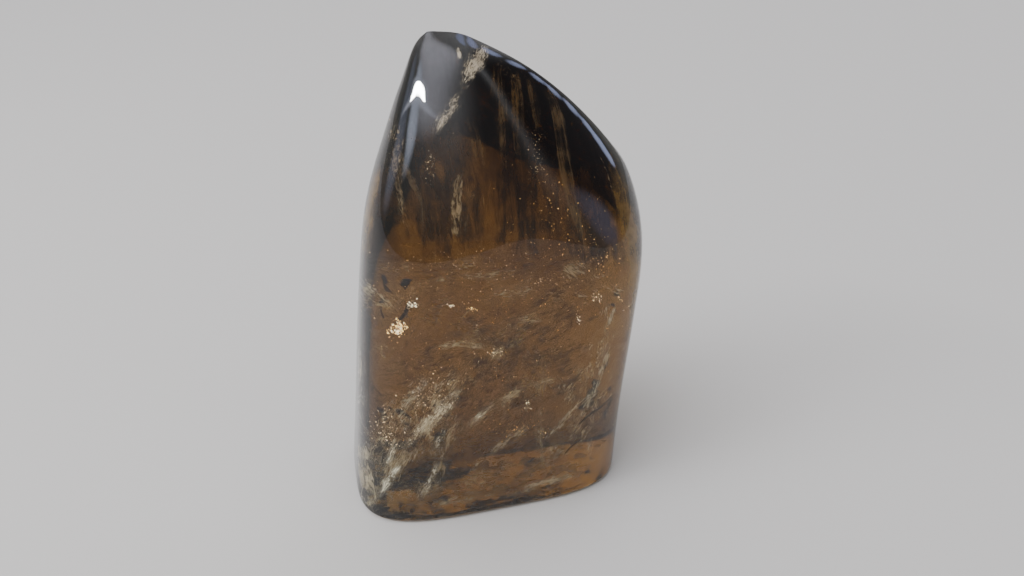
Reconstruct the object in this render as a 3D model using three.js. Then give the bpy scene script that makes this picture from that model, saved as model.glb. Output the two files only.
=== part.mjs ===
import * as THREE from "three";

// A polished freeform of smoky quartz: one natural crystal, ground by hand to a leaning flame
// shape and cut flat underneath, so that it stands on its own. It is built as level sections
// stacked from the foot to the tip. Millimetres, +Z up, the width along X, and the broad front
// face towards -Y. The origin is at the middle of the flat foot.

const HEIGHT = 200;
const TIP_X = -20;
const TIP_Y = 5;

// The four outlines, each from the foot to the tip as [distance from the Z axis, height].
const LEFT_EDGE = [
  [-67, 0], [-62.5, 35], [-56.5, 85], [-49, 132], [-37, 166], [-30, 183], [-25, 194.5], [TIP_X, HEIGHT],
];
const RIGHT_EDGE = [
  [56.5, 0], [58, 40], [62.5, 85], [65.5, 118], [61, 140], [51, 155], [34, 173.5], [17, 187], [-2, 197],
  [-10, 199.5], [TIP_X, HEIGHT],
];
const FRONT_EDGE = [
  [-40, 0], [-41.5, 45], [-40, 90], [-35, 130], [-25, 162], [-15, 181], [-6, 194], [TIP_Y, HEIGHT],
];
const BACK_EDGE = [
  [36, 0], [41, 50], [42.5, 100], [39, 140], [31, 170], [22, 188], [14, 197], [TIP_Y, HEIGHT],
];

// How square a section is: 2 is an ellipse, more is boxier. Towards the top its right end draws
// out to a crest, where less than 2 is a sharper one.
const FOOT_SQUARENESS = 3.8;
const TIP_SQUARENESS = 2.1;
const CREST_SQUARENESS = 1.35;
const CREST_STARTS = 95;
const CREST_FULL = 165;

// The ground facets: the way each faces, a point that it passes through, and how softly it
// runs out into the surface round it.
const FACETS = [
  { name: "lower right side", faces: [0.88, -0.46, -0.07], through: [58, -31, 15], softness: 1.2 },
  { name: "upper left front", faces: [-0.41, -0.70, 0.58], through: [-31, -15, 172], softness: 3.0 },
  { name: "left back", faces: [-0.70, 0.70, 0.14], through: [-49, 30, 60], softness: 2.5 },
  { name: "upper right back", faces: [0.40, 0.74, 0.54], through: [26, 31, 142], softness: 3.0 },
];

// The foot's edge is rolled off, so that the stone doesn't chip where it is set down.
const FOOT_ROLL = 3;
const FOOT_ROLL_RINGS = 4;

const RINGS = 54;
const POINTS_ROUND = 72;
const CURVE_SAMPLES = 400;

/** Turns an outline into a function that gives its distance from the axis at a height. */
function outline(points) {
  const curve = new THREE.SplineCurve(points.map(([reach, z]) => new THREE.Vector2(reach, z)));
  const samples = curve.getPoints(CURVE_SAMPLES);
  return (z) => {
    const next = samples.findIndex((point) => point.y >= z);
    if (next <= 0) return samples[Math.max(next, 0)].x;
    const [low, high] = [samples[next - 1], samples[next]];
    return THREE.MathUtils.mapLinear(z, low.y, high.y, low.x, high.x);
  };
}

const left = outline(LEFT_EDGE);
const right = outline(RIGHT_EDGE);
const front = outline(FRONT_EDGE);
const back = outline(BACK_EDGE);

/** The section's squareness at a height; the crest comes in from the left end to the right one. */
function squareness(z, across) {
  const round = THREE.MathUtils.lerp(FOOT_SQUARENESS, TIP_SQUARENESS, z / HEIGHT);
  const risen = THREE.MathUtils.smoothstep(z, CREST_STARTS, CREST_FULL);
  const rightward = THREE.MathUtils.smoothstep(across, -1, 1);
  return THREE.MathUtils.lerp(round, CREST_SQUARENESS, risen * rightward);
}

/** Grinds a point back, level, to where a facet's plane cuts it, softly at the facet's edge. */
function grind(point, facet) {
  const normal = new THREE.Vector3(...facet.faces).normalize();
  const proud = normal.dot(point.clone().sub(new THREE.Vector3(...facet.through)));
  const level = new THREE.Vector2(normal.x, normal.y);
  const step = (facet.softness * Math.log1p(Math.exp(proud / facet.softness))) / level.lengthSq();
  point.x -= level.x * step;
  point.y -= level.y * step;
}

/** A point on the stone's skin, at a height and an angle round the Z axis. */
function skinPoint(z, angle) {
  const [across, deep] = [Math.cos(angle), Math.sin(angle)];
  const power = 2 / squareness(z, across);
  const middle = (left(z) + right(z)) / 2;
  const halfWidth = (right(z) - left(z)) / 2;
  const spine = THREE.MathUtils.lerp(0, TIP_Y, z / HEIGHT);
  const reach = deep < 0 ? spine - front(z) : back(z) - spine;
  const point = new THREE.Vector3(
    middle + Math.sign(across) * halfWidth * Math.abs(across) ** power,
    spine + Math.sign(deep) * reach * Math.abs(deep) ** power,
    z,
  );
  for (const facet of FACETS) grind(point, facet);
  return point;
}

/** The heights of the level sections, close together in the foot's roll and towards the tip. */
function ringHeights() {
  const heights = [];
  for (let i = 0; i < FOOT_ROLL_RINGS; i += 1) {
    heights.push(FOOT_ROLL * (1 - Math.cos((i / FOOT_ROLL_RINGS) * (Math.PI / 2))));
  }
  for (let i = 0; i < RINGS; i += 1) {
    heights.push(FOOT_ROLL + (HEIGHT - FOOT_ROLL) * Math.sin((i / RINGS) * (Math.PI / 2)));
  }
  return heights;
}

/** How far the foot's roll draws a section in at a height. */
function rollInset(z) {
  if (z >= FOOT_ROLL) return 0;
  return FOOT_ROLL - Math.sqrt(FOOT_ROLL ** 2 - (FOOT_ROLL - z) ** 2);
}

/** One closed skin: the stacked sections, a flat foot, and the tip. */
function stoneGeometry() {
  const positions = [];
  const faces = [];
  const heights = ringHeights();
  for (const z of heights) {
    for (let j = 0; j < POINTS_ROUND; j += 1) {
      const point = skinPoint(z, (j / POINTS_ROUND) * 2 * Math.PI);
      const radius = Math.hypot(point.x, point.y);
      const drawnIn = 1 - rollInset(z) / radius;
      positions.push(point.x * drawnIn, point.y * drawnIn, z);
    }
  }
  const footCentre = positions.length / 3;
  positions.push(0, 0, 0);
  const tip = footCentre + 1;
  const topPoint = skinPoint(heights.at(-1), 0).lerp(skinPoint(heights.at(-1), Math.PI), 0.5);
  positions.push(topPoint.x, topPoint.y, HEIGHT);

  const topRing = (heights.length - 1) * POINTS_ROUND;
  for (let j = 0; j < POINTS_ROUND; j += 1) {
    const next = (j + 1) % POINTS_ROUND;
    faces.push(footCentre, next, j, tip, topRing + j, topRing + next);
    for (let ring = 0; ring < topRing; ring += POINTS_ROUND) {
      const [a, b] = [ring + j, ring + next];
      const [c, d] = [b + POINTS_ROUND, a + POINTS_ROUND];
      faces.push(a, b, c, a, c, d);
    }
  }
  const geometry = new THREE.BufferGeometry();
  geometry.setAttribute("position", new THREE.Float32BufferAttribute(positions, 3));
  geometry.setIndex(faces);
  geometry.computeBoundingBox();
  const { min, max } = geometry.boundingBox;
  geometry.translate(-(min.x + max.x) / 2, -(min.y + max.y) / 2, 0);
  geometry.computeVertexNormals();
  return geometry;
}

const smokyQuartz = new THREE.MeshStandardMaterial({ color: 0x4a3823, roughness: 0.06, metalness: 0 });
smokyQuartz.transparent = true;
smokyQuartz.opacity = 0.8;

const stone = new THREE.Mesh(stoneGeometry(), smokyQuartz);
stone.name = "quartz_freeform";

const part = new THREE.Group();
part.add(stone);

export default part;
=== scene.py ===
"""Dresses a polished smoky quartz freeform and stands it in a plain studio.

The see-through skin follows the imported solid. The flaws inside the crystal, such as its veils, growth
zone, cracks and flecks, are thin pieces of their own. Each is placed by where it shows in the
photograph and by how deep it lies along the line of sight, bent as quartz bends it.
"""
from __future__ import annotations

import logging
import math
import random
from dataclasses import dataclass
from enum import Enum
from typing import Any, ClassVar

import bmesh
import bpy
from mathutils import Matrix, Quaternion, Vector
from mathutils.bvhtree import BVHTree


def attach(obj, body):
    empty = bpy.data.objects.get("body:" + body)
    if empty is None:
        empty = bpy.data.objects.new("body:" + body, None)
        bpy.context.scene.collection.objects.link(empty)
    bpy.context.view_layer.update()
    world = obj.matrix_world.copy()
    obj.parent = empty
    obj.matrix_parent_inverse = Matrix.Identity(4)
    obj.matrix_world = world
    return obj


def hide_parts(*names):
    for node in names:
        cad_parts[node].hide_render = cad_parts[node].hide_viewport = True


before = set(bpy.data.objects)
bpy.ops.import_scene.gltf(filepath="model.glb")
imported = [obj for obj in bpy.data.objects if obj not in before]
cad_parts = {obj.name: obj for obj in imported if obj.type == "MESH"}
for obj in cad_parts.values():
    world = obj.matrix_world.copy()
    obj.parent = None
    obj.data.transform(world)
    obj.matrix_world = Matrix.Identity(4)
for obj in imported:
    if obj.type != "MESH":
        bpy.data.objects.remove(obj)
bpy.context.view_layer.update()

LOG = logging.getLogger("quartz_freeform")
NODE = "quartz_freeform"
BODY = "root"
QUARTZ_IOR = 1.544
MM = 0.001

Colour = tuple[float, float, float]
Pixel = tuple[float, float]


class Expr:
    """A shader socket, or a plain number, that can be used in ordinary arithmetic."""

    def __init__(self, tree: ShaderTree, value: Any) -> None:
        """Wraps a socket or number of a tree."""
        self.tree = tree
        self.value = value

    def _math(self, operation: str, *values: Any) -> Expr:
        """Adds one Math node.

        Args:
            operation: The Math node's operation.
            values: The node's inputs in order.

        Returns:
            The node's result.
        """
        inputs = dict(enumerate(values))
        node = self.tree.node("ShaderNodeMath", {"operation": operation}, inputs)
        return Expr(self.tree, node.outputs[0])

    def __add__(self, other: Any) -> Expr:
        """Adds."""
        return self._math("ADD", self, other)

    __radd__ = __add__

    def __mul__(self, other: Any) -> Expr:
        """Multiplies."""
        return self._math("MULTIPLY", self, other)

    __rmul__ = __mul__

    def __sub__(self, other: Any) -> Expr:
        """Takes a value from this one."""
        return self._math("SUBTRACT", self, other)

    def __rsub__(self, other: Any) -> Expr:
        """Takes this value from another."""
        return self._math("SUBTRACT", other, self)

    def __abs__(self) -> Expr:
        """Drops the sign."""
        return self._math("ABSOLUTE", self)

    def at_least(self, other: Any) -> Expr:
        """Gives the larger of this and another value."""
        return self._math("MAXIMUM", self, other)

    def at_most(self, other: Any) -> Expr:
        """Gives the smaller of this and another value."""
        return self._math("MINIMUM", self, other)

    def rise(self, low: float, high: float) -> Expr:
        """Rises smoothly from 0 to 1.

        Args:
            low: The value up to which the result is 0.
            high: The value from which the result is 1.

        Returns:
            The smooth step.
        """
        settings = {"interpolation_type": "SMOOTHSTEP"}
        inputs = {"Value": self, "From Min": low, "From Max": high}
        return Expr(self.tree, self.tree.node("ShaderNodeMapRange", settings, inputs).outputs[0])


class ShaderTree:
    """The node tree of a material or of the surroundings, with short ways to add to it."""

    def __init__(self, owner: bpy.types.Material | bpy.types.World) -> None:
        """Starts an empty tree in its owner."""
        owner.use_nodes = True
        self.owner = owner
        self.nodes = owner.node_tree.nodes
        self.links = owner.node_tree.links
        self.nodes.clear()

    def node(self, kind: str, settings: dict[str, Any] | None = None,
             inputs: dict[int | str, Any] | None = None) -> bpy.types.Node:
        """Adds a node.

        Args:
            kind: The node's type.
            settings: Its own settings, set before its sockets.
            inputs: Values or links of its sockets, by name or number.

        Returns:
            The node.
        """
        node = self.nodes.new(kind)
        for name, value in (settings or {}).items():
            setattr(node, name, value)
        for key, value in (inputs or {}).items():
            self.feed(node.inputs[key], value)
        return node

    def feed(self, socket: bpy.types.NodeSocket, value: Any) -> None:
        """Links a socket to an expression or another socket, or gives it a value.

        Args:
            socket: The input socket.
            value: An expression, an output socket, a number or a colour.
        """
        if isinstance(value, Expr):
            value = value.value
        if isinstance(value, bpy.types.NodeSocket):
            self.links.new(value, socket)
        elif socket.type == "RGBA":
            socket.default_value = (*value, 1.0)
        else:
            socket.default_value = value

    def place(self) -> bpy.types.NodeSocket:
        """Gives the position on the piece, in metres of the shared frame."""
        return self.node("ShaderNodeTexCoord").outputs["Object"]

    def height(self) -> Expr:
        """Gives the height above the foot, in metres."""
        return Expr(self, self.node("ShaderNodeSeparateXYZ", None, {0: self.place()}).outputs["Z"])

    def uv(self) -> bpy.types.NodeSocket:
        """Gives the piece's own UV map."""
        return self.node("ShaderNodeUVMap", {"uv_map": "UVMap"}).outputs["UV"]

    def attribute(self, name: str) -> Expr:
        """Reads a number that the mesh carries."""
        node = self.node("ShaderNodeAttribute", {"attribute_type": "GEOMETRY", "attribute_name": name})
        return Expr(self, node.outputs["Fac"])

    def mapped(self, vector: bpy.types.NodeSocket, scale: tuple[float, float, float],
               turn_deg: tuple[float, float, float] = (0, 0, 0)) -> bpy.types.NodeSocket:
        """Turns and then stretches a pattern's coordinates.

        Args:
            vector: The coordinates.
            scale: How many pattern units there are in a unit of the coordinates along each axis.
            turn_deg: How far the coordinates turn about each axis first.

        Returns:
            The new coordinates.
        """
        turn = tuple(math.radians(angle) for angle in turn_deg)
        turned = self.node("ShaderNodeMapping", None, {"Vector": vector, "Rotation": turn})
        return self.node("ShaderNodeMapping", None, {"Vector": turned.outputs[0], "Scale": scale}).outputs[0]

    def towards(self, vector: bpy.types.NodeSocket, direction: Vector) -> Expr:
        """Gives how much a vector points along a direction, as their dot product."""
        node = self.node("ShaderNodeVectorMath", {"operation": "DOT_PRODUCT"}, {0: vector, 1: direction})
        return Expr(self, node.outputs["Value"])

    def noise(self, vector: bpy.types.NodeSocket, scale: float, detail: float = 3.0,
              roughness: float = 0.55, distortion: float = 0.0) -> Expr:
        """Adds a noise pattern from 0 to 1.

        Args:
            vector: The coordinates.
            scale: How many lumps there are in a unit.
            detail: How many finer layers are added.
            roughness: How strong the finer layers are.
            distortion: How far the pattern is swirled.

        Returns:
            The noise's height.
        """
        inputs = {"Vector": vector, "Scale": scale, "Detail": detail, "Roughness": roughness,
                  "Distortion": distortion}
        return Expr(self, self.node("ShaderNodeTexNoise", None, inputs).outputs[0])

    def blend(self, factor: Any, first: Any, second: Any) -> bpy.types.NodeSocket:
        """Mixes two colours.

        Args:
            factor: 0 for the first, 1 for the second.
            first: The first colour.
            second: The second colour.

        Returns:
            The mixed colour.
        """
        node = self.node("ShaderNodeMix", {"data_type": "RGBA"})
        self.feed(node.inputs["Factor"], factor)
        colours = [socket for socket in node.inputs if socket.type == "RGBA"]
        self.feed(colours[0], first)
        self.feed(colours[1], second)
        return next(socket for socket in node.outputs if socket.type == "RGBA")

    def bump(self, height: Expr, depth: float) -> bpy.types.NodeSocket:
        """Turns a height pattern into a normal.

        Args:
            height: The pattern, from 0 to 1.
            depth: How deep the pattern is, in metres.

        Returns:
            The normal.
        """
        inputs = {"Strength": 1.0, "Distance": depth, "Height": height}
        return self.node("ShaderNodeBump", None, inputs).outputs["Normal"]

    def surface(self, inputs: dict[int | str, Any]) -> bpy.types.Node:
        """Adds the shader and links it to the material's output.

        Args:
            inputs: Values or links of the Principled shader's sockets.

        Returns:
            The material's output node.
        """
        shader = self.node("ShaderNodeBsdfPrincipled", None, inputs)
        return self.node("ShaderNodeOutputMaterial", None, {"Surface": shader.outputs[0]})


@dataclass(frozen=True)
class PolishedQuartz:
    """The see-through smoky crystal with a hand polish, darker above its growth zone.

    The side is the ground facet at the lower right, and the crown is the back of the upper stone,
    short of its right rim. The side carries painted shade, the crown is tinted darker, and the foot
    carries a little painted shade. The mottling and the side's painted shade cover at most the share
    fullest of the tone under them. Starts, fulls, depths and ends are places in metres, between which
    a tint or painted shade comes in or fades.
    """

    absorbs: Colour = (0.66, 0.50, 0.06)
    density: float = 52.0
    clear: Colour = (0.74, 0.66, 0.46)
    smoky: Colour = (0.50, 0.38, 0.23)
    dark: Colour = (0.13, 0.085, 0.045)
    smoke_starts: float = 0.100
    smoke_full: float = 0.145
    side_faces: tuple[float, float, float] = (0.884, -0.462, -0.070)
    side_starts: float = 0.0505
    side_full: float = 0.0575
    crown_starts: float = 0.104
    crown_full: float = 0.146
    crown_lean: float = 0.9
    crown_depths: tuple[float, float] = (0.005, 0.025)
    crown_ends: tuple[float, float] = (0.040, 0.048)
    side_ends: tuple[float, float] = (0.075, 0.105)
    foot_ends: tuple[float, float] = (0.0005, 0.004)
    foot_painted_shade: float = 0.2
    fullest: float = 0.85

    def mottling(self, tree: ShaderTree) -> Expr:
        """Gives the crystal's uneven smoke: slanting wisps below, upright streaks above."""
        place = tree.place()
        lean = tree.noise(tree.mapped(place, (70, 60, 230), (0, 48, 0)), 1.0, detail=7.0, roughness=0.68,
                          distortion=0.8)
        upright = tree.noise(tree.mapped(place, (150, 80, 20), (0, 6, 0)), 1.0, detail=5.0, roughness=0.6,
                             distortion=0.3)
        lumps = tree.noise(place, 42.0, detail=3.0)
        above = tree.height().rise(self.smoke_starts, self.smoke_full)
        pattern = lean * (1.0 - above) + upright * above
        return (pattern + 0.9 * (lumps - 0.5)).rise(0.34, 0.68)

    def build(self) -> bpy.types.Material:
        """Makes the material."""
        tree = ShaderTree(bpy.data.materials.new("polished_smoky_quartz"))
        place = tree.place()
        height = tree.height()
        drift = tree.noise(tree.mapped(place, (30, 30, 14), (20, 25, 0)), 1.0, detail=4.0, distortion=0.6)
        smoke = (height + 0.06 * (drift - 0.5)).rise(self.smoke_starts, self.smoke_full)
        # Painted shade: the lower right ground facet, which faces away from the light, is darkened in the
        # base colour and fades out higher up.
        side = tree.towards(place, Vector(self.side_faces)).rise(self.side_starts, self.side_full)
        side = side * (1.0 - height.rise(*self.side_ends))
        body = tree.blend(smoke, self.clear, self.smoky)
        patches = tree.blend(smoke, self.smoky, self.dark)
        mottled = tree.blend(self.mottling(tree) * self.fullest, body, patches)
        across, deep = (tree.towards(place, axis) for axis in (Vector((1, 0, 0)), Vector((0, 1, 0))))
        crown = (height + self.crown_lean * across.at_least(0.0)).rise(self.crown_starts, self.crown_full)
        crown = crown * deep.rise(*self.crown_depths) * (1.0 - across.rise(*self.crown_ends))
        # Painted shade: the base colour darkens a little over the last few millimetres above the floor.
        foot = self.foot_painted_shade * (1.0 - height.rise(*self.foot_ends))
        # One mask holds the painted shade on the lower right facet and at the foot, together with the darker
        # tint of the crown.
        painted_shade_and_crown = (side * self.fullest).at_least(crown).at_least(foot)
        polish = tree.noise(place, 60.0, detail=4.0)
        output = tree.surface({
            "Base Color": tree.blend(painted_shade_and_crown, mottled, self.dark),
            "Roughness": 0.01 + 0.04 * polish.rise(0.45, 0.75),
            "IOR": QUARTZ_IOR,
            "Transmission Weight": 1.0,
            "Normal": tree.bump(tree.noise(place, 35.0, detail=1.0), 0.00010),
        })
        absorption = {"Color": self.absorbs, "Density": self.density}
        volume = tree.node("ShaderNodeVolumeAbsorption", None, absorption)
        tree.feed(output.inputs["Volume"], volume.outputs[0])
        return tree.owner


@dataclass(frozen=True)
class FilmFinish:
    """A healed fracture or veil: a film with a wispy pattern, clear where the pattern is thin.

    The pattern lies in the film's own map, in millimetres along and across it. The haze shows from
    the noise height low up to high, and covers at most the share cover of what lies behind it. The
    threads are fine bright lines in it, as strong as threads says. The mesh carries a strength, and
    where that is low, at the film's ends and sides, the pattern thins out. The film also gives off
    painted light in its own tone, as strong as its painted light setting says, which stands in for
    the light that falls on it inside the stone.
    """

    name: str
    tone: Colour
    shade: Colour
    cover: float
    low: float
    high: float
    fibre: tuple[float, float]
    threads: float = 0.0
    swirl: float = 0.6
    painted_glow: float = 0.0
    roughness: float = 0.45
    lumpiness: float = 0.45
    thinning: float = 0.26
    thread_stretch: tuple[float, float] = (0.30, 1.1)

    def build(self) -> bpy.types.Material:
        """Makes the material."""
        tree = ShaderTree(bpy.data.materials.new(self.name))
        own = tree.uv()
        along, across = self.fibre
        strength = tree.attribute("strength")
        stretched = tree.mapped(own, (1 / along, 1 / across, 1))
        fibres = tree.noise(stretched, 1.0, detail=8.0, roughness=0.70, distortion=self.swirl)
        lumps = tree.noise(own, 0.11, detail=2.0)
        uneven = fibres + self.lumpiness * (lumps - 0.5)
        thinned = uneven - self.thinning * (1.0 - strength.at_most(1.0))
        haze = thinned.rise(self.low, self.high) * self.cover
        drawn_along, drawn_across = self.thread_stretch
        drawn = tree.mapped(own, (drawn_along / along, drawn_across / across, 1))
        strands = 1.0 - abs(2.0 * tree.noise(drawn, 1.0, detail=4.0, distortion=self.swirl) - 1.0)
        threads = strands.rise(0.92, 0.99) * lumps.rise(0.35, 0.60) * self.threads
        tree.surface({
            "Base Color": tree.blend(lumps.rise(0.3, 0.7), self.shade, self.tone),
            "Roughness": self.roughness,
            "IOR": QUARTZ_IOR,
            "Specular IOR Level": 0.2,
            "Alpha": haze.at_least(threads * strength) * strength.rise(0.0, 0.3),
            # Painted light: the film gives off light in its own tone, standing in for the light that falls on
            # it inside the stone.
            "Emission Color": self.tone,
            "Emission Strength": self.painted_glow,
        })
        return tree.owner


@dataclass(frozen=True)
class FleckFinish:
    """The face of a tiny fracture, with painted glints and a shaded, dimmer copy of its tone."""

    name: str
    tone: Colour
    metallic: float
    roughness: float
    painted_glint: float

    def build(self) -> bpy.types.Material:
        """Makes the material."""
        tree = ShaderTree(bpy.data.materials.new(self.name))
        # Painted glint: where this fine noise is high the fleck gives off light and has its full tone;
        # elsewhere it has a shaded, dimmer copy of the tone.
        glance = tree.noise(tree.place(), 900.0, detail=1.0).rise(0.35, 0.65)
        shaded_tone = tuple(0.55 * part for part in self.tone)
        tree.surface({
            "Base Color": tree.blend(glance, shaded_tone, self.tone),
            "Metallic": self.metallic,
            "Roughness": self.roughness,
            "Emission Color": tree.blend(glance, (0.0, 0.0, 0.0), self.tone),
            "Emission Strength": self.painted_glint,
        })
        return tree.owner


class Film(Enum):
    """The kinds of film inside the crystal, each with its finish."""

    FEATHER = FilmFinish("white_feather", (0.84, 0.90, 1.00), (0.64, 0.66, 0.72), 0.96, 0.41, 0.57,
                         (2.0, 0.7), threads=0.8, swirl=0.9, painted_glow=0.85)
    VEIL = FilmFinish("white_veil", (0.92, 0.92, 0.91), (0.62, 0.58, 0.48), 0.80, 0.44, 0.62, (5.0, 1.4),
                      threads=0.42, swirl=1.1, painted_glow=0.20)
    MIST = FilmFinish("fine_mist", (0.88, 0.84, 0.74), (0.56, 0.47, 0.32), 0.60, 0.50, 0.70, (2.6, 1.1),
                      swirl=0.7, painted_glow=0.10)
    SMOKE = FilmFinish("smoke_cloud", (0.16, 0.115, 0.045), (0.07, 0.048, 0.018), 0.78, 0.40, 0.66,
                       (11.0, 3.0), swirl=1.0)
    CLOUD = FilmFinish("brown_cloud", (0.62, 0.47, 0.25), (0.36, 0.25, 0.11), 0.86, 0.26, 0.58, (9.0, 3.0),
                       swirl=1.0)
    GHOST = FilmFinish("ghost_plane", (0.62, 0.60, 0.60), (0.42, 0.37, 0.33), 0.62, 0.34, 0.66, (40.0, 1.6),
                       threads=0.16, swirl=0.2, painted_glow=0.10)
    HAZE = FilmFinish("brown_haze", (0.13, 0.085, 0.045), (0.05, 0.03, 0.015), 0.90, 0.26, 0.54, (26.0, 4.0),
                      swirl=0.5)
    THREAD = FilmFinish("light_thread", (0.92, 0.87, 0.74), (0.70, 0.62, 0.48), 0.62, 0.36, 0.58, (5.0, 2.0),
                        painted_glow=0.10)
    AMBER = FilmFinish("amber_edge", (0.80, 0.60, 0.24), (0.52, 0.38, 0.14), 0.62, 0.22, 0.56, (22.0, 4.0),
                       painted_glow=0.12)
    CRACK = FilmFinish("dark_crack", (0.025, 0.018, 0.012), (0.04, 0.03, 0.02), 0.95, 0.20, 0.36, (5.0, 3.0))


class Fleck(Enum):
    """The kinds of fleck inside the crystal, each with its finish."""

    PALE = FleckFinish("pale_fleck", (0.95, 0.93, 0.90), 0.0, 0.30, 3.2)
    GOLD = FleckFinish("gold_fleck", (1.0, 0.76, 0.42), 0.5, 0.28, 3.8)


@dataclass(frozen=True)
class PaleFloor:
    """The studio's matt pale floor."""

    tone: Colour = (0.55, 0.535, 0.50)

    def build(self) -> bpy.types.Material:
        """Makes the material."""
        tree = ShaderTree(bpy.data.materials.new("pale_floor"))
        grain = tree.noise(tree.place(), 90.0, detail=2.0)
        tree.surface({"Base Color": self.tone, "Roughness": 0.75 + 0.1 * grain})
        return tree.owner


@dataclass
class StudioCamera:
    """The camera at the photograph's viewing angle.

    The photograph's frame is 1024 by 576 pixels, taken with a phone's wide lens.
    """

    azimuth_deg: float = -14.0
    elevation_deg: float = 31.5
    distance: float = 0.3263
    aim: Vector = Vector((0.0100, -0.0036, 0.0932))
    frame_width: int = 1024
    frame_height: int = 576
    focal_pixels: float = 760.0

    def __post_init__(self) -> None:
        """Works out the camera's axes."""
        azimuth = math.radians(self.azimuth_deg)
        elevation = math.radians(self.elevation_deg)
        level = Vector((math.sin(azimuth), -math.cos(azimuth), 0.0))
        self.back = level * math.cos(elevation) + Vector((0.0, 0.0, math.sin(elevation)))
        self.right = Vector((math.cos(azimuth), math.sin(azimuth), 0.0))
        self.up = self.back.cross(self.right)
        self.position = self.aim + self.back * self.distance

    def build(self) -> None:
        """Adds the camera and makes it the scene's."""
        data = bpy.data.cameras.new("photo_camera")
        data.sensor_width = 36.0
        data.lens = data.sensor_width * self.focal_pixels / self.frame_width
        data.clip_start = 0.01
        camera = bpy.data.objects.new("photo_camera", data)
        axes = Matrix((self.right, self.up, self.back)).transposed()
        camera.matrix_world = Matrix.Translation(self.position) @ axes.to_4x4()
        bpy.context.scene.collection.objects.link(camera)
        bpy.context.scene.camera = camera

    def sight(self, pixel: Pixel) -> Vector:
        """Gives the line of sight through a pixel of the photograph.

        Args:
            pixel: The pixel's place, right and down from the top left corner.

        Returns:
            The direction, of length 1.
        """
        across = (pixel[0] - self.frame_width / 2) / self.focal_pixels
        down = (pixel[1] - self.frame_height / 2) / self.focal_pixels
        return (self.right * across - self.up * down - self.back).normalized()


@dataclass
class Skin:
    """The stone's polished skin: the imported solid, merged, turned to quads and smoothed."""

    camera: StudioCamera
    smoothing_levels: int = 2
    margin: float = 2.5 * MM
    middle_pixel: Pixel = (492.0, 290.0)
    mm_per_pixel: ClassVar[float] = 0.46

    def build(self) -> bpy.types.Object:
        """Makes the skin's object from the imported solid."""
        mesh = bpy.data.meshes.new("polished_stone")
        shape = bmesh.new()
        shape.from_mesh(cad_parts[NODE].data)
        bmesh.ops.remove_doubles(shape, verts=shape.verts, dist=1e-6)
        bmesh.ops.join_triangles(shape, faces=shape.faces, angle_face_threshold=math.radians(40),
                                 angle_shape_threshold=math.radians(60))
        for face in shape.faces:
            face.smooth = True
        self.surface = BVHTree.FromBMesh(shape)
        LOG.info("skin: %d faces, of which %d have four sides", len(shape.faces),
                 sum(len(face.verts) == 4 for face in shape.faces))
        shape.to_mesh(mesh)
        shape.free()
        skin = bpy.data.objects.new("polished_stone", mesh)
        bpy.context.scene.collection.objects.link(skin)
        smoother = skin.modifiers.new("smooth", "SUBSURF")
        smoother.levels = self.smoothing_levels
        smoother.render_levels = self.smoothing_levels
        mesh.materials.clear()
        mesh.materials.append(PolishedQuartz().build())
        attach(skin, BODY)
        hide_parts(NODE)
        return skin

    def glance(self, pixel: Pixel) -> tuple[Vector, Vector]:
        """Finds where a line of sight meets the skin, and the mirrored direction there.

        Args:
            pixel: The pixel of the photograph.

        Returns:
            The point on the skin and the direction in which it mirrors the sight.
        """
        sight = self.camera.sight(pixel)
        point, normal, _, _ = self.surface.ray_cast(self.camera.position, sight)
        return point, sight.reflect(normal)

    def inside(self, pixel: Pixel, depth: float) -> Vector:
        """Finds the point inside the stone that shows at a pixel.

        Args:
            pixel: The pixel of the photograph.
            depth: How far in the point lies along the bent line of sight, in metres. Where the
                stone is thinner than that, the point stays just inside its far side.

        Returns:
            The point.
        """
        sight = self.camera.sight(pixel)
        point, normal, _, _ = self.surface.ray_cast(self.camera.position, sight)
        if point is None:
            nearest = self.edge(pixel)
            sight = self.camera.sight(nearest)
            point, normal, _, _ = self.surface.ray_cast(self.camera.position, sight)
        facing = -sight.dot(normal)
        ratio = 1.0 / QUARTZ_IOR
        bent = ratio * sight + (ratio * facing - math.sqrt(1 - ratio**2 * (1 - facing**2))) * normal
        _, _, _, through = self.surface.ray_cast(point + bent * MM, bent)
        return point + min(depth, (through or 0.0) - self.margin) * bent

    def edge(self, pixel: Pixel) -> Pixel:
        """Moves a pixel that misses the stone towards the stone's middle, until it meets the stone."""
        near = Vector(pixel)
        middle = Vector(self.middle_pixel)
        while self.surface.ray_cast(self.camera.position, self.camera.sight(near))[0] is None:
            near = near.lerp(middle, 0.03)
        return tuple(near.lerp(middle, 0.01))

    def reach(self, start: Vector, direction: Vector) -> float:
        """Measures how far it is from a point inside the stone to its skin, in a direction."""
        return self.surface.ray_cast(start, direction)[3]


def add_piece(name: str, shape: bmesh.types.BMesh, material: bpy.types.Material) -> bpy.types.Object:
    """Turns a shape into a finished piece of the stone.

    Args:
        name: The piece's name.
        shape: Its mesh, which is freed.
        material: Its finish.

    Returns:
        The piece.
    """
    mesh = bpy.data.meshes.new(name)
    for face in shape.faces:
        face.smooth = True
    shape.to_mesh(mesh)
    shape.free()
    mesh.materials.append(material)
    piece = bpy.data.objects.new(name, mesh)
    bpy.context.scene.collection.objects.link(piece)
    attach(piece, BODY)
    LOG.info("%s: %d faces", name, len(mesh.polygons))
    return piece


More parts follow.
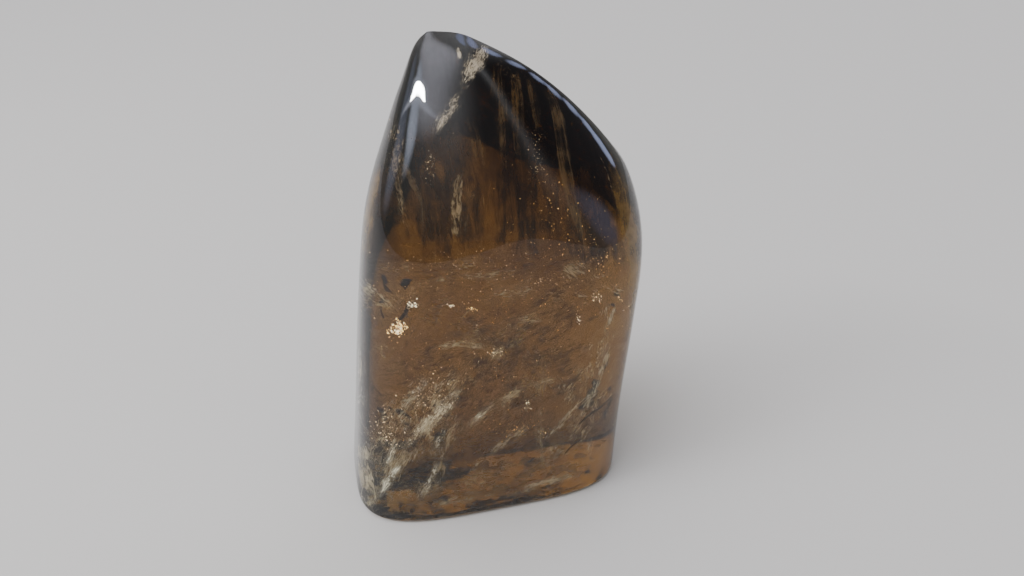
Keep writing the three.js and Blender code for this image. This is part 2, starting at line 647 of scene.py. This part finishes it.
def on_curve(points: tuple[Any, ...], share: float) -> Vector:
    """Finds a place on the smooth curve through some points.

    Args:
        points: The points, as vectors or pairs of numbers.
        share: How far along the curve, from 0 to 1.

    Returns:
        The place, as a vector of as many numbers as the points have.
    """
    vectors = [Vector(point) for point in points]
    vectors = [2 * vectors[0] - vectors[1], *vectors, 2 * vectors[-1] - vectors[-2]]
    reach = min(max(share, 0.0), 1.0) * (len(points) - 1)
    first = min(int(reach), len(points) - 2)
    t = reach - first
    a, b, c, d = vectors[first:first + 4]
    return 0.5 * (2 * b + t * (c - a) + t * t * (2 * a - 5 * b + 4 * c - d) + t**3 * (3 * b - a - 3 * c + d))


@dataclass(frozen=True)
class Flaw:
    """One film inside the crystal, laid along a line of the photograph.

    The spine and the widths are in the photograph's pixels. The depths, in millimetres, are those
    of the film's two long sides, so that it leans away from the eye.
    """

    film: Film
    spine: tuple[Pixel, ...]
    widths: tuple[float, ...]
    depths: tuple[float, float]
    strength: float = 1.0
    steps_across: ClassVar[int] = 8
    pixels_per_step: ClassVar[float] = 5.0
    end_steepness: ClassVar[float] = 5.0
    pattern_shift: ClassVar[tuple[float, float]] = (97.0, 41.0)
    heading_share: ClassVar[float] = 0.02

    def lay(self, shape: bmesh.types.BMesh, skin: Skin, number: int) -> None:
        """Adds the film to a mesh.

        Args:
            shape: The mesh.
            skin: The stone's skin, which bends the lines of sight.
            number: The film's number, which sets its part of the pattern.
        """
        grown = bmesh.ops.create_grid(shape, x_segments=self.steps_along(),
                                      y_segments=self.steps_across, size=1.0)
        strengths = shape.verts.layers.float["strength"]
        places = shape.loops.layers.uv["UVMap"]
        grid = {vert: ((vert.co.x + 1) / 2, vert.co.y) for vert in grown["verts"]}
        for vert, (along, across) in grid.items():
            vert.co = self.spot(skin, along, across)
            ends = min(1.0, self.end_steepness * along, self.end_steepness * (1 - along))
            vert[strengths] = self.strength * ends * (1 - across * across)
        length = self.length() * Skin.mm_per_pixel
        width = max(self.widths) * Skin.mm_per_pixel
        shift_along, shift_across = (number * shift for shift in self.pattern_shift)
        for face in {face for vert in grid for face in vert.link_faces}:
            for loop in face.loops:
                along, across = grid[loop.vert]
                loop[places].uv = (along * length + shift_along, across * width / 2 + shift_across)

    def length(self) -> float:
        """Gives the spine's length in pixels."""
        return sum((Vector(b) - Vector(a)).length for a, b in zip(self.spine, self.spine[1:]))

    def steps_along(self) -> int:
        """Gives the number of steps along the film, one for every few pixels."""
        return max(6, round(self.length() / self.pixels_per_step))

    def spot(self, skin: Skin, along: float, across: float) -> Vector:
        """Finds a point of the film.

        Args:
            skin: The stone's skin.
            along: How far along the spine, from 0 to 1.
            across: How far across the film, from -1 to 1.

        Returns:
            The point in the stone.
        """
        before = on_curve(self.spine, along - self.heading_share)
        after = on_curve(self.spine, along + self.heading_share)
        forward = (after - before).normalized()
        sideways = Vector((-forward.y, forward.x))
        width = on_curve(tuple((width, 0.0) for width in self.widths), along).x
        pixel = on_curve(self.spine, along) + sideways * (across * width / 2)
        near, far = self.depths
        return skin.inside(tuple(pixel), MM * (near + (far - near) * (across + 1) / 2))


@dataclass
class Films:
    """All the films of the crystal, one piece for each kind."""

    skin: Skin
    flaws: tuple[Flaw, ...] = (
        Flaw(Film.FEATHER, ((484, 40), (478, 56), (470, 72), (461, 92)), (14, 24, 22, 10), (3, 6)),
        Flaw(Film.FEATHER, ((458, 46), (460, 60)), (6, 7), (3, 4)),
        Flaw(Film.FEATHER, ((464, 90), (452, 106), (441, 120), (433, 138)),
             (10, 18, 16, 8), (4, 8), 0.9),
        Flaw(Film.FEATHER, ((398, 120), (392, 136)), (8, 6), (3, 4), 0.8),
        Flaw(Film.VEIL, ((402, 110), (396, 140), (393, 170), (400, 205), (412, 235)),
             (18, 26, 24, 18, 8), (4, 12), 0.9),
        Flaw(Film.GHOST, ((398, 150), (410, 178), (420, 200), (424, 260)),
             (8, 10, 9, 6), (10, 14), 1.2),
        Flaw(Film.GHOST, ((499, 52), (498, 90), (502, 130), (505, 180)), (10, 18, 16, 10), (9, 22)),
        Flaw(Film.GHOST, ((512, 60), (516, 100), (518, 140), (526, 190)), (10, 18, 16, 10), (12, 26)),
        Flaw(Film.GHOST, ((527, 72), (533, 100), (540, 140)), (8, 12, 8), (10, 20)),
        Flaw(Film.GHOST, ((470, 110), (476, 150), (484, 200)), (18, 26, 20), (14, 26), 0.8),
        Flaw(Film.GHOST, ((542, 80), (556, 110), (564, 160), (574, 205), (586, 262)),
             (8, 13, 16, 15, 10), (7, 15), 1.7),
        Flaw(Film.VEIL, ((464, 164), (457, 190), (456, 220), (458, 246)), (8, 14, 15, 8), (7, 11), 1.4),
        Flaw(Film.GHOST, ((472, 180), (466, 210), (464, 240)), (14, 16, 10), (12, 16)),
        Flaw(Film.THREAD, ((484, 188), (483, 230)), (1.6, 1.6), (12, 13), 0.6),
        Flaw(Film.MIST, ((478, 50), (520, 100), (566, 176)), (40, 70, 40), (7, 18), 0.75),
        Flaw(Film.MIST, ((420, 140), (440, 190), (470, 240)), (40, 70, 60), (8, 20), 0.75),
        Flaw(Film.VEIL, ((358, 330), (358, 380), (360, 430)), (16, 22, 16), (2, 7), 0.9),
        Flaw(Film.THREAD, ((587, 130), (604, 165), (617, 205)), (2.4, 3.0, 2.0), (2, 3), 0.8),
        Flaw(Film.VEIL, ((360, 283), (378, 296), (400, 312)), (22, 26, 12), (5, 14), 1.0),
        Flaw(Film.VEIL, ((376, 510), (400, 462), (422, 424), (446, 390), (478, 352)),
             (40, 56, 60, 46, 20), (5, 16), 0.95),
        Flaw(Film.VEIL, ((362, 476), (382, 436), (404, 404), (434, 372)),
             (26, 38, 36, 18), (6, 18), 0.9),
        Flaw(Film.VEIL, ((416, 512), (430, 474), (446, 442), (472, 410)),
             (22, 30, 28, 16), (7, 18), 0.85),
        Flaw(Film.VEIL, ((362, 330), (382, 350), (400, 380)), (26, 34, 20), (8, 20), 0.6),
        Flaw(Film.VEIL, ((520, 484), (560, 450), (596, 404), (620, 350)),
             (20, 30, 30, 20), (8, 22), 0.8),
        Flaw(Film.VEIL, ((556, 416), (584, 372), (614, 326)), (30, 36, 24), (7, 18), 0.8),
        Flaw(Film.VEIL, ((470, 302), (540, 292), (610, 302)), (18, 26, 20), (6, 16), 0.8),
        Flaw(Film.VEIL, ((556, 258), (590, 282), (634, 300)), (26, 34, 22), (5, 16), 0.9),
        Flaw(Film.VEIL, ((440, 345), (500, 330), (560, 310)), (18, 30, 20), (8, 20), 0.7),
        Flaw(Film.VEIL, ((360, 262), (430, 268), (500, 262)), (14, 26, 14), (8, 24), 0.7),
        Flaw(Film.FEATHER, ((400, 452), (422, 430), (446, 406), (464, 384)),
             (12, 18, 18, 8), (9, 14), 0.85),
        Flaw(Film.FEATHER, ((400, 414), (418, 392), (428, 376)), (8, 13, 8), (8, 12), 0.8),
        Flaw(Film.FEATHER, ((384, 470), (398, 440), (410, 424)), (8, 12, 8), (6, 10), 0.7),
        Flaw(Film.VEIL, ((368, 502), (392, 470), (412, 440)), (20, 28, 18), (6, 20), 1.0),
        Flaw(Film.VEIL, ((434, 498), (444, 458), (454, 416)), (12, 16, 10), (10, 22), 1.0),
        Flaw(Film.VEIL, ((456, 438), (486, 414), (512, 394), (534, 372)),
             (14, 18, 16, 10), (10, 18), 1.0),
        Flaw(Film.FEATHER, ((460, 432), (482, 414), (502, 398)), (6, 9, 6), (10, 12), 0.6),
        Flaw(Film.VEIL, ((488, 362), (504, 350), (534, 336)), (10, 14, 10), (12, 20), 0.9),
        Flaw(Film.VEIL, ((578, 410), (596, 360), (608, 310), (614, 262)),
             (18, 24, 20, 10), (6, 20), 0.7),
        Flaw(Film.AMBER, ((608, 146), (624, 200), (633, 262), (634, 345)), (12, 20, 20, 8), (2, 6)),
        Flaw(Film.AMBER, ((378, 160), (370, 205), (364, 268)), (8, 15, 10), (2, 5)),
        Flaw(Film.VEIL, ((584, 480), (592, 430), (598, 380)), (8, 12, 10), (6, 14), 0.8),
        Flaw(Film.VEIL, ((410, 512), (460, 500), (520, 492)), (10, 16, 10), (6, 14), 0.8),
        Flaw(Film.THREAD, ((547, 340), (542, 400), (541, 440), (546, 505)),
             (1.6, 2.2, 2.4, 1.8), (12, 14), 0.8),
        Flaw(Film.VEIL, ((545, 350), (540, 400), (541, 440), (547, 495)),
             (10, 14, 14, 8), (11, 14), 0.7),
        Flaw(Film.VEIL, ((462, 478), (500, 446), (542, 416)), (8, 12, 8), (7, 16), 1.1),
        Flaw(Film.VEIL, ((490, 408), (528, 388), (566, 376)), (8, 12, 8), (9, 16), 1.0),
        Flaw(Film.VEIL, ((540, 446), (572, 412), (604, 384)), (8, 12, 8), (6, 14), 1.1),
        Flaw(Film.VEIL, ((574, 430), (598, 380), (616, 324)), (6, 10, 8), (4, 9), 1.2),
        Flaw(Film.VEIL, ((590, 384), (606, 340), (618, 290)), (5, 9, 6), (4, 9), 1.2),
        Flaw(Film.VEIL, ((424, 352), (460, 344), (494, 350)), (8, 13, 8), (8, 14), 1.1),
        Flaw(Film.VEIL, ((500, 316), (540, 320), (580, 312)), (8, 12, 8), (7, 14), 1.0),
        Flaw(Film.VEIL, ((420, 284), (470, 276), (540, 268)), (8, 12, 8), (8, 14), 0.9),
        Flaw(Film.VEIL, ((500, 500), (540, 484), (590, 470)), (8, 12, 8), (5, 12), 1.0),
        Flaw(Film.FEATHER, ((376, 500), (390, 478), (402, 462)), (8, 14, 8), (4, 8), 0.9),
        Flaw(Film.FEATHER, ((434, 452), (440, 436), (448, 420)), (6, 9, 6), (7, 10), 0.8),
        Flaw(Film.FEATHER, ((420, 500), (430, 480), (438, 462)), (6, 10, 6), (6, 10), 0.8),
        Flaw(Film.THREAD, ((458, 343), (467, 338)), (2.2, 2.0), (8, 9), 1.0),
        Flaw(Film.THREAD, ((460, 320), (468, 312), (476, 308)), (2.4, 3.0, 3.6), (8, 9), 1.0),
        Flaw(Film.CRACK, ((612, 396), (600, 408), (590, 414), (576, 427)),
             (1.2, 1.8, 2.0, 1.0), (5, 6)),
        Flaw(Film.CRACK, ((583, 438), (572, 446), (562, 457)), (1.0, 1.8, 1.0), (5, 6)),
        Flaw(Film.CRACK, ((535, 457), (527, 463)), (1.2, 1.0), (6, 7)),
        Flaw(Film.HAZE, ((430, 110), (440, 180), (450, 262)), (60, 90, 90), (14, 30)),
        Flaw(Film.HAZE, ((515, 120), (522, 180), (528, 262)), (60, 80, 90), (20, 36), 0.8),
        Flaw(Film.HAZE, ((585, 160), (596, 220), (602, 272)), (50, 70, 60), (12, 28), 1.1),
        Flaw(Film.HAZE, ((388, 150), (388, 195), (388, 232)), (28, 38, 26), (8, 16), 1.2),
        Flaw(Film.SMOKE, ((358, 500), (420, 440), (480, 395), (550, 370), (628, 330)),
             (80, 110, 120, 110, 60), (20, 40), 0.9),
        Flaw(Film.SMOKE, ((360, 400), (430, 360), (520, 330), (630, 280)),
             (80, 100, 100, 70), (26, 46), 0.8),
        Flaw(Film.CLOUD, ((356, 478), (430, 462), (520, 450), (618, 428)),
             (44, 56, 56, 44), (22, 30), 1.0),
        Flaw(Film.CLOUD, ((360, 508), (430, 500), (520, 486), (606, 462)),
             (36, 46, 46, 36), (12, 20), 0.9),
        Flaw(Film.MIST, ((366, 510), (440, 420), (520, 350), (610, 280)),
             (90, 150, 150, 90), (10, 30), 1.0),
        Flaw(Film.MIST, ((430, 505), (520, 460), (580, 420), (618, 350)),
             (50, 80, 80, 50), (8, 22), 0.9),
        Flaw(Film.MIST, ((366, 505), (400, 490), (480, 480), (600, 452)),
             (40, 50, 50, 40), (5, 12), 1.1),
        Flaw(Film.MIST, ((362, 330), (400, 300), (480, 285), (620, 270)),
             (50, 60, 60, 50), (8, 20), 0.9),
        Flaw(Film.MIST, ((520, 130), (550, 180), (590, 250)), (40, 60, 40), (10, 22), 0.7),
        Flaw(Film.VEIL, ((359, 436), (364, 480), (376, 514)), (24, 36, 26), (3, 8), 1.2),
        Flaw(Film.SMOKE, ((470, 505), (530, 470), (580, 430), (622, 370)),
             (40, 70, 80, 50), (20, 36), 0.9),
        Flaw(Film.SMOKE, ((375, 480), (470, 380), (600, 260)), (90, 120, 90), (74, 58), 0.8),
        Flaw(Film.VEIL, ((380, 300), (480, 330), (600, 420)), (50, 70, 50), (76, 66), 0.9),
        Flaw(Film.VEIL, ((400, 460), (480, 440), (580, 350)), (30, 50, 30), (68, 78), 0.9),
    )

    def build(self) -> None:
        """Makes the pieces."""
        for film in Film:
            shape = bmesh.new()
            shape.verts.layers.float.new("strength")
            shape.loops.layers.uv.new("UVMap")
            for number, flaw in enumerate(self.flaws):
                if flaw.film is film:
                    flaw.lay(shape, self.skin, number)
            add_piece(f"{film.value.name}s", shape, film.value.build())


@dataclass(frozen=True)
class FleckCloud:
    """A cluster of flecks round a pixel of the photograph.

    The radii are in the photograph's pixels, and the sizes and depths in millimetres.
    """

    fleck: Fleck
    centre: Pixel
    radii: tuple[float, float]
    count: int
    sizes: tuple[float, float]
    depths: tuple[float, float]


@dataclass
class Flecks:
    """All the flecks of the crystal, one piece for each kind."""

    skin: Skin
    seed: int = 7
    width_shares: tuple[float, float] = (0.35, 0.9)
    thickness_share: float = 0.25
    clouds: tuple[FleckCloud, ...] = (
        FleckCloud(Fleck.PALE, (412, 304), (5.0, 6.0), 60, (0.3, 1.1), (5, 8)),
        FleckCloud(Fleck.GOLD, (399, 328), (10.0, 9.0), 110, (0.4, 1.6), (6, 12)),
        FleckCloud(Fleck.PALE, (397, 329), (6.0, 5.0), 60, (0.6, 2.0), (6, 10)),
        FleckCloud(Fleck.PALE, (450, 306), (6.0, 2.0), 20, (0.4, 1.0), (6, 9)),
        FleckCloud(Fleck.GOLD, (472, 309), (6.0, 2.0), 20, (0.3, 0.8), (7, 9)),
        FleckCloud(Fleck.GOLD, (556, 222), (44.0, 60.0), 110, (0.22, 0.70), (8, 24)),
        FleckCloud(Fleck.GOLD, (600, 255), (22.0, 34.0), 90, (0.22, 0.65), (5, 18)),
        FleckCloud(Fleck.PALE, (470, 262), (60.0, 14.0), 90, (0.20, 0.50), (6, 26)),
        FleckCloud(Fleck.PALE, (545, 282), (44.0, 9.0), 70, (0.22, 0.60), (6, 20)),
        FleckCloud(Fleck.PALE, (596, 298), (8.0, 5.0), 26, (0.3, 0.9), (5, 12)),
        FleckCloud(Fleck.PALE, (578, 320), (4.0, 7.0), 24, (0.3, 0.9), (6, 12)),
        FleckCloud(Fleck.GOLD, (620, 299), (4.0, 2.5), 10, (0.3, 0.9), (3, 6)),
        FleckCloud(Fleck.GOLD, (629, 331), (1.5, 4.0), 6, (0.3, 0.8), (2, 4)),
        FleckCloud(Fleck.PALE, (385, 430), (20.0, 28.0), 170, (0.25, 0.85), (5, 18)),
        FleckCloud(Fleck.PALE, (430, 398), (28.0, 26.0), 190, (0.22, 0.70), (6, 20)),
        FleckCloud(Fleck.GOLD, (520, 432), (30.0, 9.0), 60, (0.25, 0.75), (10, 22)),
        FleckCloud(Fleck.PALE, (528, 405), (3.0, 8.0), 22, (0.3, 1.0), (10, 14)),
        FleckCloud(Fleck.PALE, (498, 352), (9.0, 5.0), 30, (0.3, 0.9), (10, 16)),
        FleckCloud(Fleck.PALE, (430, 165), (6.0, 20.0), 40, (0.2, 0.5), (6, 14)),
        FleckCloud(Fleck.PALE, (536, 160), (7.0, 30.0), 50, (0.2, 0.5), (8, 20)),
        FleckCloud(Fleck.PALE, (490, 340), (120.0, 90.0), 300, (0.18, 0.50), (6, 40)),
        FleckCloud(Fleck.GOLD, (520, 380), (100.0, 90.0), 200, (0.18, 0.50), (8, 40)),
        FleckCloud(Fleck.PALE, (490, 330), (130.0, 130.0), 260, (0.25, 0.70), (55, 84)),
    )

    def build(self) -> None:
        """Makes the pieces."""
        draw = random.Random(self.seed)
        for kind in Fleck:
            shape = bmesh.new()
            for cloud in self.clouds:
                if cloud.fleck is kind:
                    self.scatter(shape, cloud, draw)
            add_piece(f"{kind.value.name}s", shape, kind.value.build())

    def scatter(self, shape: bmesh.types.BMesh, cloud: FleckCloud, draw: random.Random) -> None:
        """Adds a cloud's flecks to a mesh.

        Args:
            shape: The mesh.
            cloud: The cloud.
            draw: The source of chance.
        """
        for _ in range(cloud.count):
            pixel = (draw.gauss(cloud.centre[0], cloud.radii[0] / 2),
                     draw.gauss(cloud.centre[1], cloud.radii[1] / 2))
            place = self.skin.inside(pixel, MM * draw.uniform(*cloud.depths))
            low, high = cloud.sizes
            length = MM * (low + (high - low) * draw.random() ** 2)
            sides = Vector((length, length * draw.uniform(*self.width_shares), length * self.thickness_share))
            turn = Vector([draw.uniform(-1, 1) for _ in range(3)]).to_track_quat("Z", "X")
            bmesh.ops.create_icosphere(shape, subdivisions=1, radius=0.5,
                                       matrix=Matrix.LocRotScale(place, turn, sides))


@dataclass
class GrowthZone:
    """The nearly level haze where the crystal stopped growing for a while, right across the stone."""

    skin: Skin
    centre: Vector = Vector((0.0, 0.0, 0.108))
    fall_deg: float = 9.0
    inset: float = 0.0015
    finish: FilmFinish = FilmFinish("growth_zone", (0.56, 0.45, 0.32), (0.30, 0.22, 0.13), 0.60, 0.40,
                                    0.68, (9.0, 3.0))

    def build(self) -> None:
        """Makes the sheet, which falls towards the back."""
        shape = bmesh.new()
        strengths = shape.verts.layers.float.new("strength")
        places = shape.loops.layers.uv.new("UVMap")
        bmesh.ops.create_grid(shape, x_segments=48, y_segments=32, size=1.0)
        fall = Matrix.Rotation(math.radians(-self.fall_deg), 3, "X")
        for vert in shape.verts:
            out = max(abs(vert.co.x), abs(vert.co.y))
            vert[strengths] = 1.0 - out**3
            if out == 0:
                vert.co = self.centre
                continue
            heading = fall @ vert.co.normalized()
            vert.co = self.centre + heading * out * (self.skin.reach(self.centre, heading) - self.inset)
        for face in shape.faces:
            for loop in face.loops:
                loop[places].uv = (loop.vert.co.x / MM, loop.vert.co.y / MM)
        add_piece("growth_zone", shape, self.finish.build())


@dataclass(frozen=True)
class Patch:
    """A soft patch of the surroundings, bright or dark, round a direction.

    Azimuth 0 is behind the stone and 90 is to its right. A band is the half width of a patch that is
    drawn out to a streak, which the roll tilts from level.
    """

    azimuth_deg: float
    elevation_deg: float
    inner_deg: float
    outer_deg: float
    tone: Colour
    band_deg: float = 0.0
    roll_deg: float = 0.0

    def direction(self) -> Vector:
        """Gives the direction of the patch's middle."""
        azimuth, elevation = math.radians(self.azimuth_deg), math.radians(self.elevation_deg)
        level = Vector((math.sin(azimuth), math.cos(azimuth), 0.0))
        return level * math.cos(elevation) + Vector((0.0, 0.0, math.sin(elevation)))

    def paint(self, tree: ShaderTree, vector: bpy.types.NodeSocket, under: Any) -> bpy.types.NodeSocket:
        """Lays the patch over a colour.

        Args:
            tree: The surroundings' node tree.
            vector: The direction looked in.
            under: The colour so far.

        Returns:
            The new colour.
        """
        outer, inner = (math.cos(math.radians(angle)) for angle in (self.outer_deg, self.inner_deg))
        middle = self.direction()
        share = tree.towards(vector, middle).rise(outer, inner)
        if self.band_deg:
            upward = (Vector((0.0, 0.0, 1.0)) - middle * middle.z).normalized()
            upward.rotate(Quaternion(middle, math.radians(self.roll_deg)))
            band = math.sin(math.radians(self.band_deg))
            share = share * (1.0 - abs(tree.towards(vector, upward)).rise(0.0, band))
        return tree.blend(share, under, self.tone)


# The bluish light that the stone's crest mirrors.
CREST_LIGHT: Colour = (2.2, 2.5, 3.8)


@dataclass
class Studio:
    """The pale floor, the soft lamp and the plain surroundings."""

    skin: Skin
    floor_size: float = 6.0
    glint_pixel: Pixel = (418.0, 86.0)
    lamp_distance: float = 1.2
    lamp_sizes: tuple[float, float] = (0.64, 0.012)
    lamp_watts: float = 6.5
    lamp_roll_deg: float = 24.0
    horizon: Colour = (0.46, 0.455, 0.44)
    zenith: Colour = (1.36, 1.36, 1.40)
    patches: tuple[Patch, ...] = (
        Patch(165, 34, 12, 36, (0.28, 0.27, 0.28)),
        Patch(88, 30, 16, 40, (0.16, 0.15, 0.16)),
        Patch(110, 8, 3, 14, (0.70, 0.74, 1.00)),
        Patch(68, 12, 0, 3.5, CREST_LIGHT),
        Patch(67, 17, 0, 3.5, CREST_LIGHT),
        Patch(67, 23, 0, 3.5, CREST_LIGHT),
        Patch(66, 28, 0, 3.5, CREST_LIGHT),
        Patch(61, 34, 0, 4, CREST_LIGHT),
        Patch(54, 40, 0, 4, CREST_LIGHT),
        Patch(48, 48, 0, 5, (2.2, 2.4, 3.6)),
        Patch(42, 58, 0, 6, (2.0, 2.2, 3.2)),
        Patch(-72, 14, 4, 16, (1.2, 1.3, 1.6)),
        Patch(-108, 56, 4, 32, (4.4, 4.4, 4.9)),
        Patch(-96, 31, 1, 40, (5.0, 5.2, 6.0), 1.1, 24),
        Patch(-98, 26, 1, 12, (4.4, 4.8, 5.8)),
    )

    def build(self) -> None:
        """Adds the floor, the surroundings and the lamp."""
        self.build_floor()
        self.build_surroundings()
        point, towards = self.skin.glance(self.glint_pixel)
        self.add_lamp("key_lamp", point + towards * self.lamp_distance, point)

    def build_floor(self) -> None:
        """Adds the floor at the stone's foot."""
        shape = bmesh.new()
        bmesh.ops.create_grid(shape, x_segments=1, y_segments=1, size=self.floor_size / 2)
        mesh = bpy.data.meshes.new("studio_floor")
        shape.to_mesh(mesh)
        shape.free()
        mesh.materials.append(PaleFloor().build())
        floor = bpy.data.objects.new("studio_floor", mesh)
        bpy.context.scene.collection.objects.link(floor)

    def build_surroundings(self) -> None:
        """Gives the studio its soft light, brighter overhead and in a few soft patches."""
        tree = ShaderTree(bpy.data.worlds.new("studio_surroundings"))
        looked = tree.node("ShaderNodeTexCoord").outputs["Generated"]
        rising = tree.towards(looked, Vector((0.0, 0.0, 1.0)))
        colour = tree.blend(rising.rise(0.1, 0.75), self.horizon, self.zenith)
        for patch in self.patches:
            colour = patch.paint(tree, looked, colour)
        background = tree.node("ShaderNodeBackground", None, {"Color": colour, "Strength": 1.0})
        tree.node("ShaderNodeOutputWorld", None, {"Surface": background.outputs[0]})
        bpy.context.scene.world = tree.owner

    def add_lamp(self, name: str, place: Vector, aim: Vector) -> None:
        """Adds an oval soft lamp.

        Args:
            name: The lamp's name.
            place: Where it hangs.
            aim: The point that it lights.
        """
        data = bpy.data.lights.new(name, "AREA")
        data.shape = "ELLIPSE"
        data.size, data.size_y = self.lamp_sizes
        data.energy = self.lamp_watts
        lamp = bpy.data.objects.new(name, data)
        lamp.location = place
        roll = Quaternion((0.0, 0.0, 1.0), math.radians(self.lamp_roll_deg))
        lamp.rotation_euler = ((aim - place).to_track_quat("-Z", "Y") @ roll).to_euler()
        bpy.context.scene.collection.objects.link(lamp)


def main() -> None:
    """Builds the camera, the stone and the studio."""
    logging.basicConfig(level=logging.INFO, format="%(message)s")
    camera = StudioCamera()
    camera.build()
    skin = Skin(camera)
    skin.build()
    Films(skin).build()
    Flecks(skin).build()
    GrowthZone(skin).build()
    Studio(skin).build()


if __name__ == "__main__":
    main()
